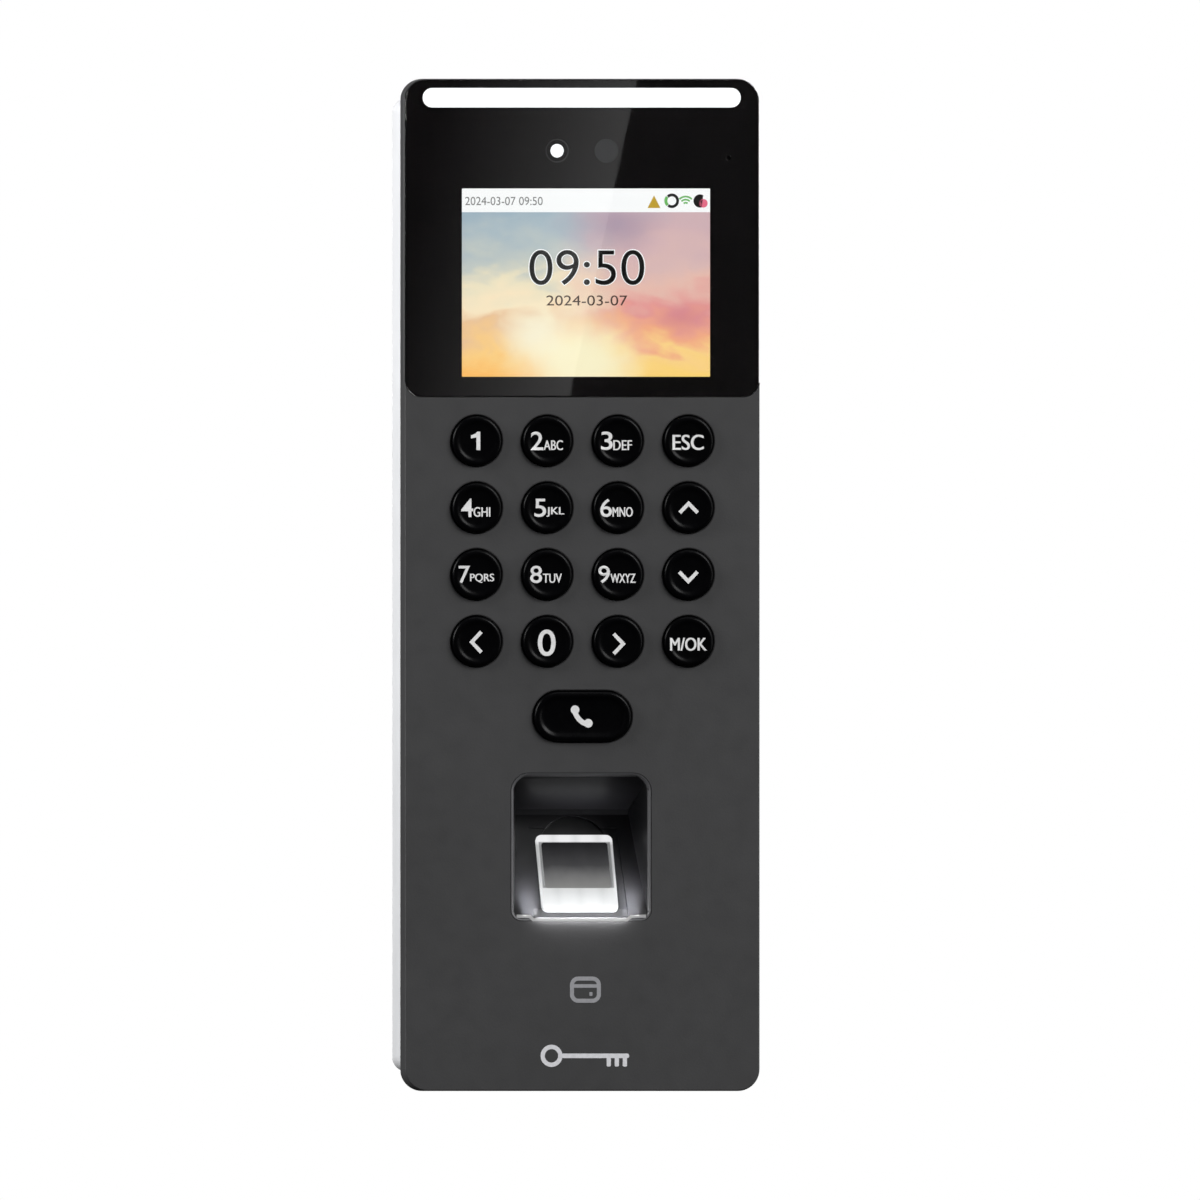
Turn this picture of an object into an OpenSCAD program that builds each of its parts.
// Wall-mounted access terminal: light bar, camera and colour display behind a glass panel,
// a sixteen-key keypad, a call key, a slanted finger pocket and a card reader.
// The wall is the plane y = 0, the front faces -Y, x runs across and z up.
// The origin is the centre of the wall bracket's screw holes.

/* [Body] */
// Width of the front shell
body_w = 70.6; // [70.2:0.1:73]
// Height of the front shell
body_h = 198.4; // [198:0.1:204]
// Depth from the wall to the front face
body_d = 22; // [22:0.1:24]
// Depth of the front shell's sides
shell_d = 5.6; // [5.5:0.1:5.8]
// Radius of the front shell's corners
corner_r = 4.3; // [3.8:0.1:5]
// How far the rear housing stands in at each side
rear_inset_x = 1.2; // [1:0.1:1.4]
// How far the rear housing stands in at the top and bottom
rear_inset_z = 3.8; // [3.6:0.1:4]

/* [Glass panel] */
// Height of the cover glass
glass_h = 62.3; // [61.8:0.1:62.6]
// Thickness of the cover glass
glass_t = 1.1; // [0.9:0.1:1.2]
// Radius of the cover glass's lower corners
glass_foot_r = 3.2; // [2.5:0.1:4]
// Width of the display's window
display_w = 49.4; // [48:0.1:50]
// Height of the display's window
display_h = 36.9; // [36:0.1:37.5]
// Sideways place of the display's centre
display_x = 0.85; // [0.5:0.05:1.2]
// Distance of the display's centre below the top edge
display_drop = 39.95; // [39.8:0.05:40.1]
// Length of the light bar's window
light_bar_l = 63.3; // [60:0.1:63.5]
// Height of the light bar's window
light_bar_h = 3.8; // [3:0.1:3.9]
// Distance of the light bar's centre below the top edge
light_bar_drop = 3.7; // [3.65:0.05:3.8]
// Distance of the camera and its fill light from the centre line
camera_x = 4.9; // [4.5:0.1:6]
// Distance of the camera below the top edge
camera_drop = 14.1; // [13.9:0.1:14.2]
// Diameter of the camera's window
camera_d = 4.7; // [4:0.1:5]
// Diameter of the fill light's window
fill_d = 2.65; // [2:0.05:2.8]

/* [Keypad] */
// Diameter of a round key
key_d = 9.8; // [9.4:0.1:10.2]
// Distance between the key columns
key_pitch_x = 14.05; // [13.9:0.05:14.1]
// Distance between the key rows
key_pitch_z = 13.1; // [12.9:0.05:13.2]
// Distance of the first key row below the top edge
first_row_drop = 71; // [70.8:0.1:71.1]
// How far a key stands out of the front face
key_proud = 0.9; // [0.7:0.05:1.2]
// How far a key travels when pressed
key_travel = 0.9; // [0.5:0.05:0.9]
// Width of the call key
call_w = 19.35; // [18:0.05:20.5]
// Height of the call key
call_h = 9.75; // [9.4:0.05:10.2]
// Distance of the call key's centre below the top edge
call_drop = 125; // [124.8:0.1:125.2]

/* [Finger pocket] */
// Width of the pocket's mouth
pocket_w = 26.7; // [26.5:0.1:27.5]
// Sideways place of the pocket's centre
pocket_x = -0.25; // [-0.3:0.05:0.3]
// Distance of the pocket's upper edge below the top edge
pocket_drop = 136.7; // [136.5:0.1:136.9]
// Height of the pocket's mouth down to its lip
pocket_h = 27.7; // [27.5:0.1:27.9]
// Lean of the finger rest from upright, in degrees
rest_lean = 28; // [27.5:0.1:28.5]
// How far each side wall draws in at the back of the pocket
pocket_draft = 2.1; // [1.5:0.1:2.3]
// Width of the sensor's light frame
sensor_w = 15.2; // [14.6:0.1:15.4]
// Length of the sensor's light frame along the slope
sensor_l = 17; // [16.6:0.1:17.2]

/* [Wall mount] */
// Distance between the wall screw holes, across
wall_holes_x = 40; // [36:1:42]
// Distance between the wall screw holes, up
wall_holes_z = 130; // [126:1:134]
// Diameter of the wall screw holes
wall_hole_d = 4.4; // [4:0.1:5]
// Distance between the two slots for a wall box
box_slots_z = 83.5; // [82:0.5:85]

/* [Hidden] */
$fn = 48;
eps = 0.01;

// Main planes along y
front_y = -body_d;
shell_back_y = front_y + shell_d;
plate_t = 2.2;
plate_back_y = front_y + plate_t;
seat_y = front_y + glass_t + 0.35;
bezel_t = 1.5;
bezel_back_y = seat_y + bezel_t;
gasket_t = 0.5;
housing_front_y = shell_back_y + gasket_t;
back_wall_y = -3;
back_wall_t = 1.6;
housing_rim_y = -0.4;
main_board_y = -11;
main_board_t = 1.6;

// Outlines
top_z = body_h / 2;
shell_wall = 3;
cavity_w = body_w - 2 * shell_wall;
cavity_top_z = top_z - 6.8;
cavity_bottom_z = -top_z + 5.6;
glass_inset = 0.12;
seat_gap = 0.15;
glass_bottom_z = top_z - glass_h;
housing_w = body_w - 2 * rear_inset_x;
housing_h = body_h - 2 * rear_inset_z;
housing_r = 3;
housing_wall = 1.8;

// Glass panel
mask_t = 0.1;
mask_y = front_y + glass_t;
tape_y = mask_y + mask_t;
behind_mask_y = tape_y + 0.05;
display_z = top_z - display_drop;
module_w = 59.7;
module_h = 42.7;
module_x = -1.95;
module_gap = 0.35;
panel_t = 1.4;
backlight_t = 1;
camera_z = top_z - camera_drop;
mic_x = 29.2;
mic_z = top_z - 15.4;
mic_hole_r = 0.5;
light_bar_z = top_z - light_bar_drop;
light_pocket_w = light_bar_l + 2.1;
light_pocket_h = light_bar_h + 1.8;
light_pocket_y = front_y + 4.6;
light_led_count = 14;

// Keypad
KEY_NAMES = [
    ["key_1", "key_2", "key_3", "key_escape"],
    ["key_4", "key_5", "key_6", "key_up"],
    ["key_7", "key_8", "key_9", "key_down"],
    ["key_left", "key_0", "key_right", "key_menu"]
];
key_r = key_d / 2;
key_gap = 0.2;
key_flange = 0.55;
key_flange_t = 0.7;
key_flange_y = plate_back_y + 0.15;
boss_r = 2.6;
pill_r = 1.6;
pill_t = 0.2;
pill_gap = key_travel + 0.1;
keypad_board_y = front_y + 5.65;
keypad_board_t = 1.2;
pill_y = keypad_board_y - pill_gap;
mat_t = 1.1;
mat_hole_r = 3.4;
call_boss_x = 4.5;
call_z = top_z - call_drop;
keypad_w = 54;
keypad_top_z = top_z - 64.6;
keypad_bottom_z = top_z - 131.6;
post_r = 2;

// Finger pocket
rest_cos = cos(rest_lean);
rest_sin = sin(rest_lean);
pocket_top_z = top_z - pocket_drop;
lip_z = pocket_top_z - pocket_h;
pocket_depth = 10.7;
pocket_back_y = front_y + pocket_depth;
rest_top_z = lip_z + pocket_depth * rest_cos / rest_sin;
ceiling_z = rest_top_z + 1.1;
channel_d = 0.28;
channel_foot_w = 18.9;
channel_top_w = 17.5;
channel_top_v = 10.1;
scoop_r = 6.8;
scoop_v = 6;
scoop_d = 0.55;
nose_rim = 0.6;
nose_gap = 0.1;
cradle_t = 1.4;
sensor_z = lip_z + 8.7;
sensor_y = front_y + (sensor_z - lip_z) * rest_sin / rest_cos;
window_w = 13.3;
window_l = 10.2;
window_v = sensor_l / 2 - 1.6 - window_l / 2;
guide_t = 2.2;
sensor_body_t = 4.8;
guide_top_n = 0.1;

// Screws and their columns
case_x = 29.5;
case_z = [top_z - 10.7, 0, -top_z + 11.2];
case_boss_r = 2.2;
case_boss_end_y = -8.6;
case_head_y = -6.4;
board_screw_x = 23;
board_screw_z = [top_z - 15.2, -28];

// Rear features
bay_w = 48;
bay_top_z = 15;
bay_bottom_z = -6;
tamper_at = [-20, -20];
reset_at = [20, 11];
backup_cell_at = [14, -20];
hook_x = 18;
hook_z = 74;
hook_w = 8;
lock_y = -4.8;
lock_pocket_w = 15;
lock_pocket_y = -9.2;
speaker_at = [-18, -10.3];

// Wall bracket
bracket_t = 1.5;
bracket_w = 58;
bracket_h = 176;
bracket_window_w = 44;
bracket_window_h = 60;
box_slot_r = 2.1;
box_slot_l = 8;

// ---------- shared shapes ----------

// Rectangle with a corner radius at the top and another at the foot, centred.
module rounded(size, r, foot_r = undef) {
    low_r = is_undef(foot_r) ? r : foot_r;
    big_r = max(r, low_r);
    half = [size[0] / 2, size[1] / 2];
    translate([-half[0], -half[1] + low_r]) square([size[0], size[1] - r - low_r]);
    translate([-half[0] + r, 0]) square([size[0] - 2 * r, half[1]]);
    translate([-half[0] + low_r, -half[1]]) square([size[0] - 2 * low_r, half[1]]);
    for (side = [-1, 1]) {
        translate([side * (half[0] - r), half[1] - r]) circle(r);
        translate([side * (half[0] - low_r), -half[1] + low_r]) circle(low_r);
    }
}

// Upright plate between two depths, with rounded corners.
module slab(size, r, y0, y1, at = [0, 0], foot_r = undef) {
    translate([at[0], y1, at[1]])
        rotate([90, 0, 0])
            linear_extrude(y1 - y0) rounded(size, r, foot_r);
}

// Upright block between two depths, with square corners.
module block(size, y0, y1, at = [0, 0]) {
    translate([at[0] - size[0] / 2, y0, at[1] - size[1] / 2])
        cube([size[0], y1 - y0, size[1]]);
}

// Round bar along y between two depths.
module bar(r, y0, y1, at = [0, 0]) {
    translate([at[0], y1, at[1]]) rotate([90, 0, 0]) cylinder(r = r, h = y1 - y0);
}

// Solid of revolution about y: the profile's x is the radius and its y the depth.
module lathe(at = [0, 0]) {
    translate([at[0], 0, at[1]]) rotate([-90, 0, 0]) rotate_extrude() children();
}

// Outline in the y-z plane drawn out along x, centred.
module across(width, points) {
    translate([-width / 2, 0, 0])
        rotate([90, 0, 90])
            linear_extrude(width) polygon(points);
}

// Place of the sensor: local x across, local y up the slope, local z out of it.
module on_rest() {
    translate([pocket_x, sensor_y, sensor_z]) rotate([90 - rest_lean, 0, 0]) children();
}

function key_x(column) = (column - 1.5) * key_pitch_x;
function key_z(row) = top_z - first_row_drop - row * key_pitch_z;
function span_mid(a, b) = (a + b) / 2;

module at_keys() {
    for (row = [0 : 3], column = [0 : 3])
        translate([key_x(column), 0, key_z(row)]) children();
}

// The four keypad posts stand between the outer and inner columns.
module at_posts() {
    for (side = [-1, 1], row = [0.5, 2.5])
        translate([side * key_pitch_x, 0, key_z(row)]) children();
}

module at_case_screws() {
    for (side = [-1, 1], z = case_z) translate([side * case_x, 0, z]) children();
}

module at_main_board_screws() {
    for (side = [-1, 1], z = board_screw_z)
        translate([side * board_screw_x, 0, z]) children();
}

// ---------- front shell and glass panel ----------

module glass_outline(inset, y0, y1) {
    h = glass_h - glass_inset - 2 * inset;
    slab([body_w - 2 * (glass_inset + inset), h], corner_r - glass_inset - inset, y0, y1,
        at = [0, glass_bottom_z + inset + h / 2], foot_r = glass_foot_r - inset);
}

// Seat that the glass lies on: open at the top and sides, with rounded lower corners.
module glass_seat() {
    glass_outline(-seat_gap, front_y - 1, seat_y);
    seat_open_z = glass_bottom_z + glass_foot_r;
    block([body_w + 2, top_z - seat_open_z + 1], front_y - 1, seat_y,
        at = [0, span_mid(seat_open_z, top_z + 1)]);
}

module shell_cavity() {
    keys_h = glass_bottom_z - 2.4 - cavity_bottom_z;
    block([cavity_w, keys_h], plate_back_y, shell_back_y + 1,
        at = [0, cavity_bottom_z + keys_h / 2]);
    panel_h = cavity_top_z - glass_bottom_z + 2.4 + eps;
    block([cavity_w, panel_h], bezel_back_y, shell_back_y + 1,
        at = [0, cavity_top_z - panel_h / 2]);
}

module shell_openings() {
    block([module_w + 2 * module_gap, module_h + 2 * module_gap], front_y, bezel_back_y + 1,
        at = [module_x, display_z]);
    bar(3.2, front_y, bezel_back_y + 1, [camera_x, camera_z]);
    bar(1.75, front_y, bezel_back_y + 1, [-camera_x, camera_z]);
    bar(mic_hole_r, front_y, bezel_back_y + 1, [mic_x, mic_z]);
    slab([light_pocket_w, light_pocket_h], light_pocket_h / 2 - eps, front_y, light_pocket_y,
        at = [0, light_bar_z]);
    // Notch for the light board's wires
    block([6, 2], bezel_back_y, light_pocket_y, [20, cavity_top_z + 0.2]);
    at_keys() bar(key_r + key_gap, front_y - 1, plate_back_y + 1);
    slab([call_w + 2 * key_gap, call_h + 2 * key_gap], call_h / 2 + key_gap - eps,
        front_y - 1, plate_back_y + 1, at = [0, call_z]);
    nose_h = pocket_h + 2 * (nose_rim + nose_gap);
    slab([pocket_w + 2 * (nose_rim + nose_gap), nose_h], 3.7, front_y - 1, plate_back_y + 1,
        at = [pocket_x, span_mid(pocket_top_z, lip_z)], foot_r = 2.2);
}

module front_shell() {
    color("#444446") difference() {
        union() {
            difference() {
                slab([body_w, body_h], corner_r, front_y, shell_back_y);
                shell_cavity();
            }
            at_posts() bar(post_r, plate_back_y - eps, keypad_board_y);
            at_case_screws() bar(case_boss_r, seat_y + 0.5, case_boss_end_y);
        }
        glass_seat();
        shell_openings();
        at_posts() bar(0.9, plate_back_y + 0.3, keypad_board_y + 1);
        at_case_screws() bar(0.9, bezel_back_y + 1, case_boss_end_y + 1);
    }
}

module cover_glass() {
    color("#20242680") difference() {
        glass_outline(0, front_y, mask_y);
        bar(mic_hole_r, front_y - 1, mask_y + 1, [mic_x, mic_z]);
    }
}

module glass_mask() {
    color("#0b0b0c") difference() {
        glass_outline(0.1, mask_y, tape_y);
        slab([light_bar_l, light_bar_h], light_bar_h / 2 - eps, mask_y - 1, tape_y + 1,
            at = [0, light_bar_z]);
        bar(camera_d / 2, mask_y - 1, tape_y + 1, [camera_x, camera_z]);
        bar(fill_d / 2, mask_y - 1, tape_y + 1, [-camera_x, camera_z]);
        bar(mic_hole_r, mask_y - 1, tape_y + 1, [mic_x, mic_z]);
        block([display_w, display_h], mask_y - 1, tape_y + 1, [display_x, display_z]);
    }
}

module glass_tape() {
    color("#1c1c1e") difference() {
        glass_outline(0.4, tape_y, seat_y);
        slab([light_pocket_w, light_pocket_h], light_pocket_h / 2 - eps, tape_y - 1, seat_y + 1,
            at = [0, light_bar_z]);
        bar(3.2, tape_y - 1, seat_y + 1, [camera_x, camera_z]);
        bar(1.75, tape_y - 1, seat_y + 1, [-camera_x, camera_z]);
        bar(mic_hole_r + 0.3, tape_y - 1, seat_y + 1, [mic_x, mic_z]);
        block([module_w + 2 * module_gap, module_h + 2 * module_gap], tape_y - 1, seat_y + 1,
            [module_x, display_z]);
    }
}

// ---------- behind the glass ----------

module light_bar() {
    color("#f4f6f8")
        slab([light_pocket_w - 0.4, light_pocket_h - 0.4], light_pocket_h / 2 - 0.2 - eps,
            behind_mask_y, behind_mask_y + 1.5, at = [0, light_bar_z]);
}

light_board_t = 0.8;
light_board_y = light_pocket_y - light_board_t - 0.1;

module light_board() {
    color("#e8e8e4")
        block([light_bar_l, 4.2], light_board_y, light_board_y + light_board_t,
            at = [0, light_bar_z]);
}

module light_leds() {
    pitch = (light_bar_l - 6) / (light_led_count - 1);
    color("#f2e8a0")
        for (i = [0 : light_led_count - 1])
            block([1.6, 1.4], light_board_y - 0.5, light_board_y,
                at = [(i - (light_led_count - 1) / 2) * pitch, light_bar_z]);
}

camera_board_y = shell_back_y + 0.4;

module fill_lens() {
    color("#ffffff") {
        bar(1.55, behind_mask_y, bezel_back_y + 0.1, [-camera_x, camera_z]);
        bar(2.3, bezel_back_y + 0.1, bezel_back_y + 0.9, [-camera_x, camera_z]);
    }
}

module fill_led() {
    color("#f2e8a0") block([2.4, 2.4], camera_board_y - 1, camera_board_y, [-camera_x, camera_z]);
}

module camera_lens() {
    lens_y = behind_mask_y + 0.9;
    color("#30343a90") lathe([camera_x, camera_z])
        intersection() {
            translate([0, lens_y + 3.2]) circle(3.2);
            translate([0, lens_y]) square([1.7, 1]);
        }
}

module camera_body() {
    barrel_y = behind_mask_y + 0.25;
    color("#232427") difference() {
        union() {
            bar(2.9, barrel_y, bezel_back_y + 0.4, [camera_x, camera_z]);
            block([8, 8], bezel_back_y + 0.4 - eps, camera_board_y, [camera_x, camera_z]);
        }
        bar(1.9, barrel_y - 1, behind_mask_y + 1.95, [camera_x, camera_z]);
    }
}

module camera_board() {
    color("#1d5a3a") block([26, 9.6], camera_board_y, camera_board_y + 0.8, [0, camera_z]);
}

module microphone() {
    color("#b9a87a") difference() {
        block([4, 3], bezel_back_y + 0.05, bezel_back_y + 1.1, [mic_x, mic_z]);
        bar(0.4, bezel_back_y - 1, bezel_back_y + 0.6, [mic_x, mic_z]);
    }
}

module display_panel() {
    color("#c9d3e0")
        block([module_w - 0.6, module_h - 0.4], behind_mask_y, behind_mask_y + panel_t,
            [module_x, display_z]);
}

module display_backlight() {
    color("#d8d8d4")
        block([module_w, module_h], behind_mask_y + panel_t,
            behind_mask_y + panel_t + backlight_t, [module_x, display_z]);
}

// Flat ribbon that leaves the back of the display, drops and meets the main board's front.
module display_ribbon() {
    start_y = behind_mask_y + panel_t + backlight_t;
    end_y = main_board_y - main_board_t;
    high_z = display_z - 4;
    low_z = display_z - 15;
    t = 0.15;
    color("#b8721f") translate([-18, 0, 0])
        across(10, [
            [start_y, high_z], [start_y, high_z - 6], [start_y + t, high_z - 6],
            [start_y + t, high_z - t - 1], [start_y + 3, high_z - t - 1],
            [end_y - t, low_z + t + 1], [end_y - t, low_z - 5], [end_y, low_z - 5],
            [end_y, low_z + 1], [start_y + 3 + t, high_z - 1], [start_y + t, high_z - 1],
            [start_y + t, high_z]
        ]);
}

// ---------- finger pocket ----------

// Space of the pocket: mouth with rounded corners, slanted ceiling, slanted rest, drafted walls.
module pocket_space() {
    ahead = 1;
    intersection() {
        slab([pocket_w, pocket_h], 3, front_y - ahead, pocket_back_y + 1,
            at = [0, span_mid(pocket_top_z, lip_z)], foot_r = 1.6);
        across(pocket_w + 2, [
            [front_y - ahead, pocket_top_z], [front_y, pocket_top_z],
            [pocket_back_y, ceiling_z], [pocket_back_y, rest_top_z],
            [front_y, lip_z], [front_y - ahead, lip_z]
        ]);
        translate([0, 0, lip_z - 1])
            linear_extrude(pocket_h + 2)
                polygon([
                    [-pocket_w / 2, front_y - ahead], [-pocket_w / 2, front_y],
                    [-pocket_w / 2 + pocket_draft, pocket_back_y],
                    [pocket_w / 2 - pocket_draft, pocket_back_y],
                    [pocket_w / 2, front_y], [pocket_w / 2, front_y - ahead]
                ]);
    }
}

module cradle_body() {
    nose_top = pocket_top_z + nose_rim;
    nose_foot = lip_z - nose_rim;
    leg_y = plate_back_y + 1.2;
    back_y = pocket_back_y + cradle_t;
    rest_at = function(y) lip_z + ((y - front_y) * rest_cos - cradle_t) / rest_sin;
    intersection() {
        slab([pocket_w + 2 * nose_rim, nose_top - nose_foot], 3.6, front_y, back_y + 1,
            at = [0, span_mid(nose_top, nose_foot)], foot_r = 2.1);
        across(pocket_w + 10, [
            [front_y, nose_top], [leg_y, nose_top], [back_y, ceiling_z + 1.5],
            [back_y, rest_at(back_y)], [leg_y, rest_at(leg_y)],
            [leg_y, nose_foot], [front_y, nose_foot]
        ]);
    }
    // Flange glued to the back of the front plate
    slab([pocket_w + 6, pocket_h + 6], 3, plate_back_y, leg_y,
        at = [0, span_mid(pocket_top_z, lip_z)]);
}

// Shallow channel that guides the finger down to the lip and runs out over it
module finger_channel() {
    foot_v = -(sensor_z - lip_z) / rest_cos;
    spread = (channel_foot_w - channel_top_w) / 2 / (channel_top_v - foot_v);
    run_out = 20;
    foot = channel_foot_w / 2 + spread * run_out;
    translate([0, 0, -channel_d])
        linear_extrude(2)
            polygon([
                [-foot, foot_v - run_out], [foot, foot_v - run_out],
                [channel_top_w / 2, channel_top_v], [-channel_top_w / 2, channel_top_v]
            ]);
}

module finger_cradle() {
    color("#37383b") difference() {
        translate([pocket_x, 0, 0]) cradle_body();
        translate([pocket_x, 0, 0]) pocket_space();
        on_rest() {
            finger_channel();
            // Aperture of the sensor
            translate([0, 0, -9])
                linear_extrude(10) rounded([sensor_w + 0.2, sensor_l + 0.2], 1.3);
            // Crescent scoop above the sensor
            translate([0, scoop_v, -scoop_d]) cylinder(r = scoop_r, h = 2);
        }
    }
}

module sensor_guide() {
    color("#f5f7fa") on_rest() difference() {
        translate([0, 0, -guide_t])
            linear_extrude(guide_t + guide_top_n) rounded([sensor_w, sensor_l], 1.2);
        translate([0, window_v, -guide_t - 1])
            linear_extrude(guide_t + 3) rounded([window_w, window_l], 0.6);
    }
}

module sensor_prism() {
    color("#3a3d42a0") on_rest() translate([0, window_v, -guide_t - 3])
        linear_extrude(guide_t + 3 - 0.05) rounded([window_w - 0.2, window_l - 0.2], 0.5);
}

module sensor_body() {
    color("#1b1b1d") on_rest() difference() {
        translate([0, 0, -guide_t - sensor_body_t])
            linear_extrude(sensor_body_t) rounded([sensor_w - 0.2, sensor_l - 0.2], 1.1);
        translate([0, window_v, -guide_t - 3.2])
            linear_extrude(5) rounded([window_w, window_l], 0.6);
        // Wells for the lamps under the light frame
        for (i = [-1 : 1])
            translate([i * 4.4 - 1.2, -sensor_l / 2 + 1.2, -guide_t - 1.6]) cube([2.4, 2.4, 3]);
    }
}

module sensor_leds() {
    color("#f2e8a0") on_rest()
        for (i = [-1 : 1])
            translate([i * 4.4 - 1, -sensor_l / 2 + 1.4, -guide_t - 1.6]) cube([2, 2, 0.8]);
}

module sensor_board() {
    color("#1d5a3a") on_rest()
        translate([-sensor_w / 2, -sensor_l / 2, -guide_t - sensor_body_t - 1])
            cube([sensor_w, sensor_l, 1]);
}

// ---------- card reader ----------

antenna_w = 52;
antenna_h = 21;
antenna_z = -top_z + 17.6;
antenna_y = plate_back_y + 0.3;

module antenna_board() {
    color("#1d5a3a")
        slab([antenna_w, antenna_h], 1.5, antenna_y, antenna_y + 0.8, at = [0, antenna_z]);
}

module antenna_coil() {
    turn = 1.6;
    color("#b87333")
        for (i = [0 : 3])
            difference() {
                slab([antenna_w - 2 - 2 * turn * i, antenna_h - 2 - 2 * turn * i], 1,
                    antenna_y + 0.8, antenna_y + 0.95, at = [0, antenna_z]);
                block([antenna_w - 3.6 - 2 * turn * i, antenna_h - 3.6 - 2 * turn * i],
                    antenna_y, antenna_y + 2, [0, antenna_z]);
            }
}

// ---------- keypad ----------

// Edge, ridge and dish of a key's face, as steps in from the rim and depths from the top.
module key_face_profile(r) {
    face_y = front_y - key_proud;
    polygon(concat(
        [[0, key_flange_y + eps], [r, key_flange_y + eps], [r, face_y + 0.6]],
        [for (a = [15 : 15 : 90]) [r - 0.6 + 0.6 * cos(a), face_y + 0.6 - 0.6 * sin(a)]],
        [[r - 1.1, face_y], [r - 1.6, face_y + 0.22], [0, face_y + 0.34]]
    ));
}

module key_boss(at = [0, 0]) {
    bar(boss_r, key_flange_y + key_flange_t - eps, pill_y - pill_t, at);
    bar(pill_r, pill_y - pill_t - eps, pill_y, at);
}

module round_key(column, row) {
    at = [key_x(column), key_z(row)];
    color("#0c0c0d") {
        lathe(at) key_face_profile(key_r);
        bar(key_r + key_flange, key_flange_y, key_flange_y + key_flange_t, at);
        key_boss(at);
    }
}

module key_call() {
    face_y = front_y - key_proud;
    r = call_h / 2;
    at = [0, call_z];
    color("#0c0c0d") {
        difference() {
            slab([call_w, call_h], r - eps, face_y + 0.3, key_flange_y + eps, at);
            slab([call_w - 3.2, call_h - 3.2], r - 1.6 - eps, face_y, face_y + 0.5, at);
        }
        difference() {
            slab([call_w - 0.6, call_h - 0.6], r - 0.3 - eps, face_y, face_y + 0.3 + eps, at);
            slab([call_w - 2.6, call_h - 2.6], r - 1.3 - eps, face_y - 1, face_y + 1, at);
        }
        slab([call_w + 2 * key_flange, call_h + 2 * key_flange], r + key_flange - eps,
            key_flange_y, key_flange_y + key_flange_t, at);
        for (side = [-1, 1]) key_boss([side * call_boss_x, call_z]);
    }
}

module keypad_mat() {
    h = keypad_top_z - keypad_bottom_z;
    color("#2b2c2f") difference() {
        slab([keypad_w, h], 2, keypad_board_y - mat_t, keypad_board_y,
            at = [0, span_mid(keypad_top_z, keypad_bottom_z)]);
        at_keys() bar(mat_hole_r, keypad_board_y - mat_t - 1, keypad_board_y + 1);
        for (side = [-1, 1])
            bar(mat_hole_r, keypad_board_y - mat_t - 1, keypad_board_y + 1,
                [side * call_boss_x, call_z]);
        at_posts() bar(post_r + 0.3, keypad_board_y - mat_t - 1, keypad_board_y + 1);
    }
}

module keypad_board() {
    h = keypad_top_z - keypad_bottom_z;
    color("#1d5a3a") difference() {
        block([keypad_w, h], keypad_board_y, keypad_board_y + keypad_board_t,
            [0, span_mid(keypad_top_z, keypad_bottom_z)]);
        at_posts() bar(1.1, keypad_board_y - 1, keypad_board_y + keypad_board_t + 1);
    }
}

// ---------- main board ----------

board_top_z = top_z - 9.2;
board_bottom_z = -33.4;

module main_board() {
    h = board_top_z - board_bottom_z;
    color("#1d5a3a") difference() {
        slab([keypad_w, h], 1.5, main_board_y - main_board_t, main_board_y,
            at = [0, span_mid(board_top_z, board_bottom_z)]);
        at_main_board_screws() bar(1.1, main_board_y - main_board_t - 1, main_board_y + 1);
    }
}

module processor_shield() {
    color("#c4c8cc") slab([30, 24], 1, main_board_y, main_board_y + 2.2, at = [0, 48]);
}

module backup_cell() {
    color("#c9ccd0") {
        bar(6.25, main_board_y + 0.8, main_board_y + 3.4, backup_cell_at);
        block([15.5, 6], main_board_y, main_board_y + 0.8, backup_cell_at);
    }
}

module relay() {
    color("#20242c") block([15, 7.5], main_board_y, main_board_y + 5.4, [-16, 29]);
}

HEADERS = [[-15, 1], [4, 1], [-7, 10]];
header_w = 15;
header_h = 6.6;
header_top_y = main_board_y + 5.2;

module wire_headers() {
    color("#e9e6dc")
        for (at = HEADERS)
            difference() {
                block([header_w, header_h], main_board_y, header_top_y, at);
                block([header_w - 1.8, header_h - 1.8], main_board_y + 1.4, header_top_y + 1, at);
            }
}

module header_pins() {
    color("#c9a227")
        for (at = HEADERS, i = [-2 : 2])
            block([0.6, 0.6], main_board_y + 1.4, header_top_y - 0.8, [at[0] + i * 2.5, at[1]]);
}

module speaker() {
    speaker_z = -housing_h / 2 + housing_wall + 0.1;
    color("#2a2a2c") translate([speaker_at[0] - 8, speaker_at[1] - 5, speaker_z])
        cube([16, 10, 3.4]);
}

// ---------- switches at the back ----------

tamper_end_y = -0.1;
tamper_tail_y = -8.3;

module tamper_switch() {
    color("#26282c") difference() {
        block([6.4, 6.4], main_board_y, main_board_y + 3.6, tamper_at);
        bar(1.9, main_board_y + 0.9, main_board_y + 4.6, tamper_at);
    }
}

module tamper_button() {
    color("#d9d9d6") {
        bar(1.6, tamper_tail_y, tamper_end_y - 0.3, tamper_at);
        bar(1.3, tamper_end_y - 0.3 - eps, tamper_end_y, tamper_at);
    }
}

module reset_switch() {
    color("#26282c") difference() {
        block([4.6, 4.6], main_board_y, main_board_y + 2.5, reset_at);
        bar(1.25, main_board_y + 0.9, main_board_y + 3.5, reset_at);
    }
}

module reset_button() {
    color("#b53a2e") bar(1.05, main_board_y + 1.5, main_board_y + 3.4, reset_at);
}

// ---------- housing and bracket ----------

module case_gasket() {
    color("#2b2b2d") difference() {
        slab([housing_w - 0.8, housing_h - 0.8], housing_r - 0.4, shell_back_y, housing_front_y);
        block([housing_w - 3.2, housing_h - 3.2], shell_back_y - 1, housing_front_y + 1);
    }
}

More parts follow.
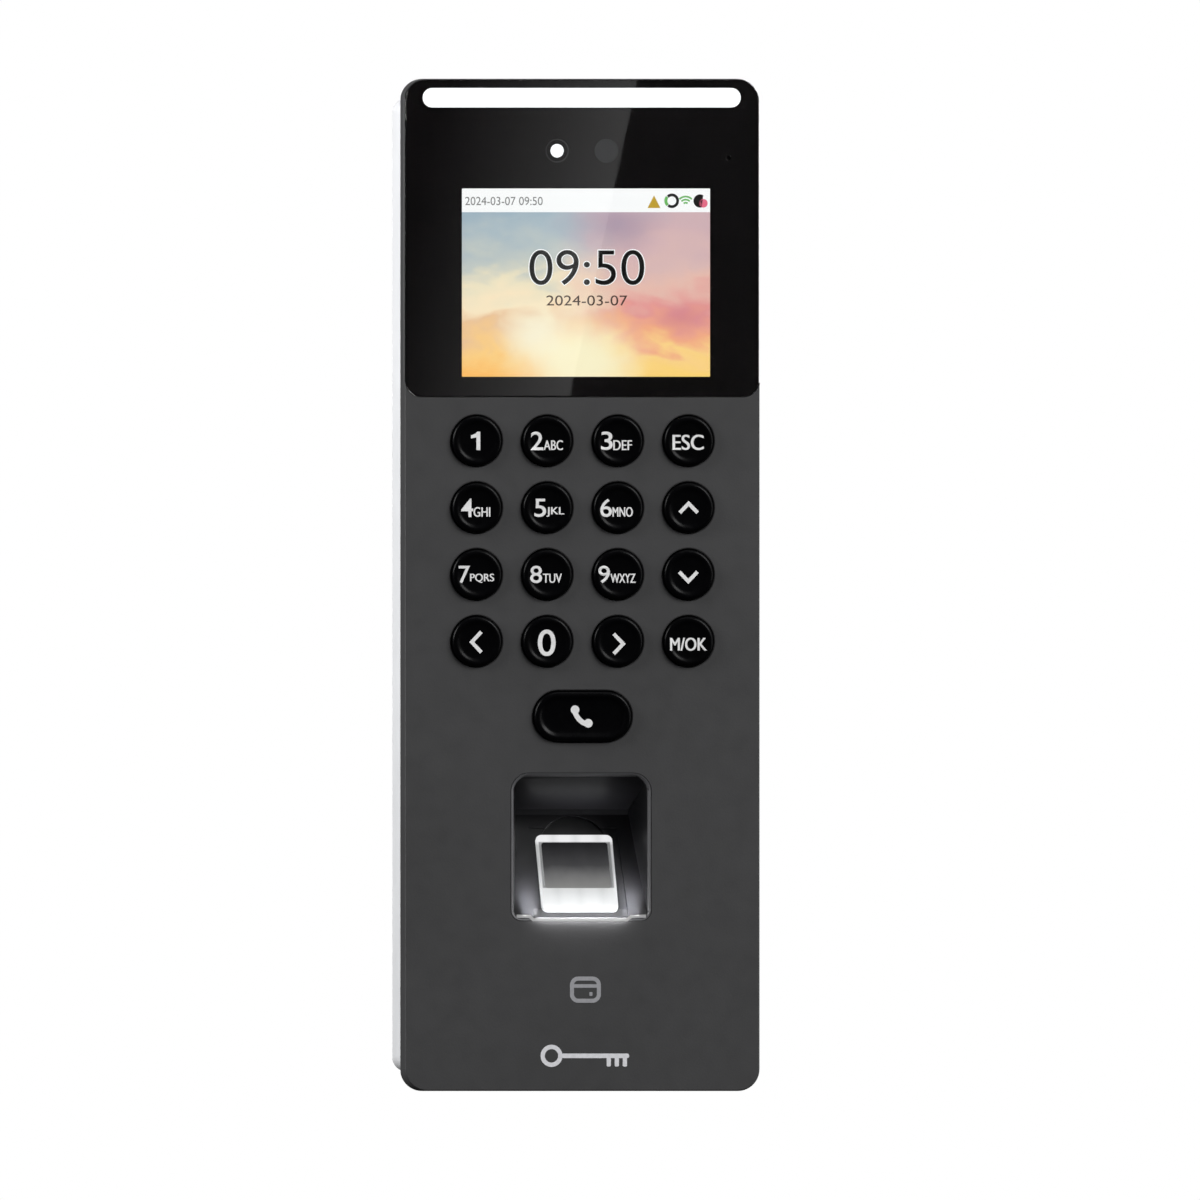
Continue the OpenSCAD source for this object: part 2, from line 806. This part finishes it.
// Walls around the hollow that takes the bracket's foot and the locking screw.
module lock_pocket_walls() {
    pocket_h = 9.2;
    block([lock_pocket_w + 2.8, pocket_h + 1.4], lock_pocket_y - 1.4, back_wall_y,
        [0, -housing_h / 2 + housing_wall + (pocket_h + 1.4) / 2 - eps]);
}

module lock_pocket() {
    pocket_h = 9.2;
    block([lock_pocket_w, pocket_h], lock_pocket_y, 0,
        [0, -housing_h / 2 + housing_wall + pocket_h / 2]);
}

module housing_columns() {
    at_case_screws() bar(2.9, case_boss_end_y + 0.1, back_wall_y - eps);
    at_main_board_screws() bar(2.4, main_board_y, back_wall_y - eps);
}

module housing_cuts() {
    wall_y = back_wall_y - back_wall_t;
    at_case_screws() {
        bar(1.3, case_boss_end_y - 1, 0);
        bar(2.2, case_head_y, 0);
    }
    at_main_board_screws() bar(0.9, main_board_y - 1, wall_y - 0.4);
    block([bay_w, bay_top_z - bay_bottom_z], wall_y - 1, 0,
        [0, span_mid(bay_top_z, bay_bottom_z)]);
    bar(2.1, wall_y - 1, 0, tamper_at);
    for (side = [-1, 1])
        block([hook_w + 1.2, 5.8], wall_y - 1, 0, [side * hook_x, hook_z + 1.3]);
    lock_pocket();
    translate([0, lock_y, -housing_h / 2 - 1]) cylinder(r = 1.7, h = housing_wall + 2);
    for (i = [-3 : 3], k = [-1 : 1])
        translate([speaker_at[0] + i * 1.9, speaker_at[1] + k * 2.2, -housing_h / 2 - 1])
            cylinder(r = 0.6, h = housing_wall + 2);
}

module rear_housing() {
    inner = [housing_w - 2 * housing_wall, housing_h - 2 * housing_wall];
    color("#d3d4d6") difference() {
        union() {
            difference() {
                slab([housing_w, housing_h], housing_r, housing_front_y, housing_rim_y);
                slab(inner, housing_r - housing_wall, housing_front_y - 1,
                    back_wall_y - back_wall_t);
                slab(inner, housing_r - housing_wall, back_wall_y, 0);
            }
            housing_columns();
            lock_pocket_walls();
        }
        housing_cuts();
    }
}

module bracket_hook() {
    reach_y = back_wall_y - back_wall_t - 0.3;
    across(hook_w, [
        [-eps, hook_z - 0.7], [reach_y - 1.3, hook_z - 0.7], [reach_y - 1.3, hook_z + 3.3],
        [reach_y, hook_z + 3.3], [reach_y, hook_z + 0.7], [-eps, hook_z + 0.7]
    ]);
}

module bracket_foot() {
    foot_z = -bracket_h / 2;
    block([12, 1.8], lock_pocket_y + 1, -eps, [0, foot_z + 0.9]);
}

module wall_bracket() {
    color("#a9adb2") difference() {
        union() {
            slab([bracket_w, bracket_h], 4, -bracket_t, 0);
            for (side = [-1, 1]) translate([side * hook_x, 0, 0]) bracket_hook();
            bracket_foot();
        }
        slab([bracket_window_w, bracket_window_h], 3, -bracket_t - 1, 1);
        for (side = [-1, 1], up = [-1, 1])
            bar(wall_hole_d / 2, -bracket_t - 1, 1,
                [side * wall_holes_x / 2, up * wall_holes_z / 2]);
        for (up = [-1, 1])
            slab([2 * box_slot_r, box_slot_l], box_slot_r - eps, -bracket_t - 1, 1,
                at = [0, up * box_slots_z / 2]);
        translate([0, lock_y, -bracket_h / 2 - 1]) cylinder(r = 1.3, h = 4);
    }
}

// ---------- fasteners ----------

// Pan-head screw that is driven towards -Y, its head's seat at y = 0.
module screw(head_r, head_t, shank_r, shank_l) {
    difference() {
        union() {
            bar(head_r, 0, head_t);
            bar(shank_r, -shank_l, eps);
        }
        for (turn = [0, 90])
            rotate([0, turn, 0])
                translate([-head_r * 0.55, head_t - 0.6, -0.22]) cube([head_r * 1.1, 1, 0.44]);
    }
}

module case_screws() {
    color("#8d9094") at_case_screws()
        translate([0, case_head_y, 0]) screw(1.95, 1.5, 0.85, 6.6);
}

module board_screws() {
    color("#8d9094") {
        at_posts() translate([0, keypad_board_y + keypad_board_t, 0]) screw(1.7, 1.1, 0.8, 4);
        at_main_board_screws()
            translate([0, main_board_y - main_board_t, 0])
                rotate([0, 0, 180]) screw(1.7, 1.1, 0.8, 5);
    }
}

module security_screw() {
    color("#8d9094")
        translate([0, lock_y, -housing_h / 2]) rotate([-90, 0, 0]) screw(2.7, 1.6, 1.2, 9);
}

front_shell();
cover_glass();
glass_mask();
glass_tape();
light_bar();
light_board();
light_leds();
fill_lens();
fill_led();
camera_lens();
camera_body();
camera_board();
microphone();
display_panel();
display_backlight();
display_ribbon();
finger_cradle();
sensor_guide();
sensor_prism();
sensor_body();
sensor_board();
sensor_leds();
antenna_board();
antenna_coil();
keypad_mat();
keypad_board();
main_board();
processor_shield();
backup_cell();
relay();
speaker();
wire_headers();
header_pins();
tamper_switch();
tamper_button();
reset_switch();
reset_button();
case_gasket();
rear_housing();
wall_bracket();
case_screws();
board_screws();
security_screw();
round_key(0, 0);  // key_1
round_key(1, 0);  // key_2
round_key(2, 0);  // key_3
round_key(3, 0);  // key_escape
round_key(0, 1);  // key_4
round_key(1, 1);  // key_5
round_key(2, 1);  // key_6
round_key(3, 1);  // key_up
round_key(0, 2);  // key_7
round_key(1, 2);  // key_8
round_key(2, 2);  // key_9
round_key(3, 2);  // key_down
round_key(0, 3);  // key_left
round_key(1, 3);  // key_0
round_key(2, 3);  // key_right
round_key(3, 3);  // key_menu
key_call();
